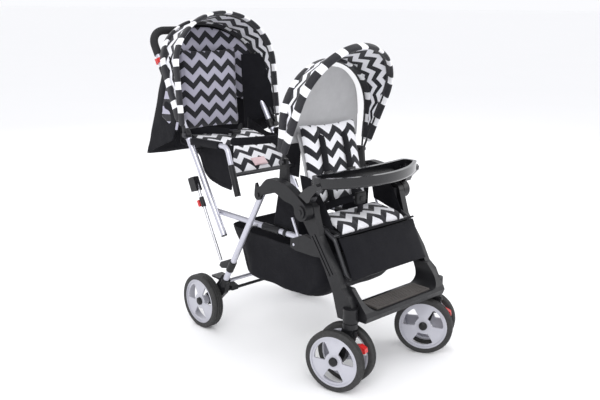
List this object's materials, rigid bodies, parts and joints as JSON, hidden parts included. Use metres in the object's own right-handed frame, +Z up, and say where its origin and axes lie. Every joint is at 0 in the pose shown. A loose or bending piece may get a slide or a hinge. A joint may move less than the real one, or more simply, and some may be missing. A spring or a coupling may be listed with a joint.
{
  "type": "tandem pushchair",
  "caption": "Folding two-seat tandem pushchair with swivel front casters, raised rear seat, hooped sun canopies, front tray, shopping basket and foam push handle.",
  "frame": {"origin": "ground point at the centre of the pushchair's footprint box", "axes": "+Z up, front of the pushchair towards -Y, its own left side towards +X"},
  "size_m": [0.5246, 1.0775, 1.0108],
  "materials": {
    "black_plastic": "moulded satin black",
    "gloss_plastic": "glossy black",
    "silver_tube": "silver powder coat",
    "steel": "zinc plated",
    "dark_steel": "black paint",
    "tyre": "grooved foam rubber",
    "wheel_silver": "silver moulding",
    "chevron": "black and white zigzag woven cloth",
    "black_fabric": "black oxford cloth",
    "grey_fabric": "light grey lining",
    "webbing": "black webbing",
    "red_plastic": "red",
    "foam": "soft black foam",
    "tread": "ribbed grey-brown"
  },
  "bodies": {
    "seat_frame": {"armrests": "black_plastic", "front_seat_frame": "steel", "front_seat_pad": "chevron", "calf_panel": "black_fabric", "front_side_panels": "black_fabric", "crotch_harness": "webbing", "basket": "black_fabric", "front_fixed_bow": "dark_steel", "front_lining": "grey_fabric"},
    "front_tray": {"tray": "gloss_plastic"},
    "front_backrest": {"front_back_pad": "chevron", "front_back_cover": "grey_fabric", "shoulder_straps": "webbing"},
    "front_canopy": {"front_bow": "dark_steel", "front_canopy_cloth": "chevron"},
    "front_leg_frame": {"front_legs": "black_plastic", "bracket_rods": "steel", "footrest": "black_plastic", "footrest_tread": "tread"},
    "rear_leg_frame": {"rear_legs": "silver_tube", "wheel_brackets": "black_plastic", "leg_sleeves": "black_plastic", "rear_rods": "steel"},
    "brake": {"brake_bar": "black_plastic"},
    "side_links": {"side_links": "silver_tube", "link_sleeves": "black_plastic"},
    "handle_frame": {"handle_tube": "silver_tube", "handle_grip": "foam", "handle_fittings": "black_plastic", "seat_rails": "silver_tube", "rear_seat_frame": "dark_steel", "rear_seat_pad": "chevron", "rear_side_panels": "black_fabric", "rear_canopy_drape": "black_fabric"},
    "rear_bumper": {"rear_bumper": "black_fabric"},
    "rear_backrest": {"rear_back_pad": "chevron"},
    "rear_canopy": {"rear_bow": "dark_steel", "rear_canopy_cloth": "chevron"},
    "caster_right": {"caster_fork_right": "black_plastic"},
    "swivel_lock_right": {"swivel_lock_right": "red_plastic"},
    "front_wheel_right_outer": {"front_tyre_right_outer": "tyre", "front_rim_right_outer": "wheel_silver"},
    "front_wheel_right_inner": {"front_tyre_right_inner": "tyre", "front_rim_right_inner": "wheel_silver"},
    "rear_wheel_right": {"rear_tyre_right": "tyre", "rear_rim_right": "wheel_silver"},
    "fold_button_right": {"fold_button_right": "red_plastic"},
    "release_slider_right": {"release_slider_right": "red_plastic"},
    "caster_left": {"caster_fork_left": "black_plastic"},
    "swivel_lock_left": {"swivel_lock_left": "red_plastic"},
    "front_wheel_left_outer": {"front_tyre_left_outer": "tyre", "front_rim_left_outer": "wheel_silver"},
    "front_wheel_left_inner": {"front_tyre_left_inner": "tyre", "front_rim_left_inner": "wheel_silver"},
    "rear_wheel_left": {"rear_tyre_left": "tyre", "rear_rim_left": "wheel_silver"},
    "fold_button_left": {"fold_button_left": "red_plastic"},
    "release_slider_left": {"release_slider_left": "red_plastic"}
  },
  "joints": [
    {"name": "frame_fold", "type": "hinge", "parent": "seat_frame", "child": "rear_leg_frame", "pos_m": [0, -0.115, 0.494], "axis": [1, 0, 0], "range_deg": [0, 36], "deforming": ["basket"]},
    {"name": "front_leg_fold", "type": "hinge", "parent": "seat_frame", "child": "front_leg_frame", "pos_m": [0, -0.298, 0.478], "axis": [1, 0, 0], "range_deg": [0, 36]},
    {"name": "link_fold", "type": "hinge", "parent": "rear_leg_frame", "child": "side_links", "pos_m": [0, -0.0482, 0.378], "axis": [1, 0, 0], "range_deg": [-36, 0]},
    {"name": "handle_fold", "type": "hinge", "parent": "side_links", "child": "handle_frame", "pos_m": [0, 0.149, 0.379], "axis": [1, 0, 0], "range_deg": [0, 39.6], "deforming": ["rear_canopy_drape"]},
    {"name": "tray_release", "type": "slide", "parent": "seat_frame", "child": "front_tray", "axis": [0, -0.5, 0.866], "range_m": [0, 0.09]},
    {"name": "front_recline", "type": "hinge", "parent": "seat_frame", "child": "front_backrest", "pos_m": [0, -0.238, 0.436], "axis": [1, 0, 0], "range_deg": [-25, 0], "deforming": ["front_lining"]},
    {"name": "front_canopy_fold", "type": "hinge", "parent": "seat_frame", "child": "front_canopy", "pos_m": [0, -0.166, 0.593], "axis": [1, 0, 0], "range_deg": [-16, 15], "deforming": ["front_canopy_cloth"]},
    {"name": "brake_press", "type": "hinge", "parent": "rear_leg_frame", "child": "brake", "pos_m": [0, 0.077, 0.138], "axis": [1, 0, 0], "range_deg": [-18, 0]},
    {"name": "bumper_release", "type": "slide", "parent": "handle_frame", "child": "rear_bumper", "axis": [0, -1, 0], "range_m": [0, 0.05]},
    {"name": "rear_recline", "type": "hinge", "parent": "handle_frame", "child": "rear_backrest", "pos_m": [0, 0.396, 0.592], "axis": [1, 0, 0], "range_deg": [-15, 0]},
    {"name": "rear_canopy_fold", "type": "hinge", "parent": "handle_frame", "child": "rear_canopy", "pos_m": [0, 0.281, 0.62], "axis": [1, 0, 0], "range_deg": [-14, 10], "deforming": ["rear_canopy_cloth"]},
    {"name": "caster_swivel_right", "type": "hinge", "parent": "front_leg_frame", "child": "caster_right", "pos_m": [-0.19, -0.466, 0.2], "axis": [0, 0, 1], "continuous": true},
    {"name": "swivel_lock_right_press", "type": "hinge", "parent": "caster_right", "child": "swivel_lock_right", "pos_m": [-0.18394, -0.48715, 0.128], "axis": [0.9613, 0.2756, 0], "range_deg": [0, 14]},
    {"name": "front_spin_right_outer", "type": "hinge", "parent": "caster_right", "child": "front_wheel_right_outer", "pos_m": [-0.19744, -0.44005, 0.089], "axis": [0.9613, 0.2756, 0], "continuous": true},
    {"name": "front_spin_right_inner", "type": "hinge", "parent": "caster_right", "child": "front_wheel_right_inner", "pos_m": [-0.19744, -0.44005, 0.089], "axis": [0.9613, 0.2756, 0], "continuous": true},
    {"name": "rear_spin_right", "type": "hinge", "parent": "rear_leg_frame", "child": "rear_wheel_right", "pos_m": [-0.23, 0.158, 0.089], "axis": [1, 0, 0], "continuous": true},
    {"name": "fold_button_right_press", "type": "slide", "parent": "rear_leg_frame", "child": "fold_button_right", "axis": [0, -0.8839, 0.4677], "range_m": [0, 0.003], "stiffness_N_per_m": 300},
    {"name": "release_slider_right_pull", "type": "slide", "parent": "handle_frame", "child": "release_slider_right", "axis": [0, 0.5297, 0.8482], "range_m": [0, 0.007], "stiffness_N_per_m": 250},
    {"name": "caster_swivel_left", "type": "hinge", "parent": "front_leg_frame", "child": "caster_left", "pos_m": [0.19, -0.466, 0.2], "axis": [0, 0, 1], "continuous": true},
    {"name": "swivel_lock_left_press", "type": "hinge", "parent": "caster_left", "child": "swivel_lock_left", "pos_m": [0.201, -0.48505, 0.128], "axis": [0.866, 0.5, 0], "range_deg": [0, 14]},
    {"name": "front_spin_left_outer", "type": "hinge", "parent": "caster_left", "child": "front_wheel_left_outer", "pos_m": [0.1765, -0.44262, 0.089], "axis": [0.866, 0.5, 0], "continuous": true},
    {"name": "front_spin_left_inner", "type": "hinge", "parent": "caster_left", "child": "front_wheel_left_inner", "pos_m": [0.1765, -0.44262, 0.089], "axis": [0.866, 0.5, 0], "continuous": true},
    {"name": "rear_spin_left", "type": "hinge", "parent": "rear_leg_frame", "child": "rear_wheel_left", "pos_m": [0.23, 0.158, 0.089], "axis": [1, 0, 0], "continuous": true},
    {"name": "fold_button_left_press", "type": "slide", "parent": "rear_leg_frame", "child": "fold_button_left", "axis": [0, -0.8839, 0.4677], "range_m": [0, 0.003], "stiffness_N_per_m": 300},
    {"name": "release_slider_left_pull", "type": "slide", "parent": "handle_frame", "child": "release_slider_left", "axis": [0, 0.5297, 0.8482], "range_m": [0, 0.007], "stiffness_N_per_m": 250}
  ],
  "couplings": [
    {"joint": "front_leg_fold", "follows": "frame_fold", "ratio": 1},
    {"joint": "link_fold", "follows": "frame_fold", "ratio": -1},
    {"joint": "handle_fold", "follows": "frame_fold", "ratio": 1.1}
  ]
}
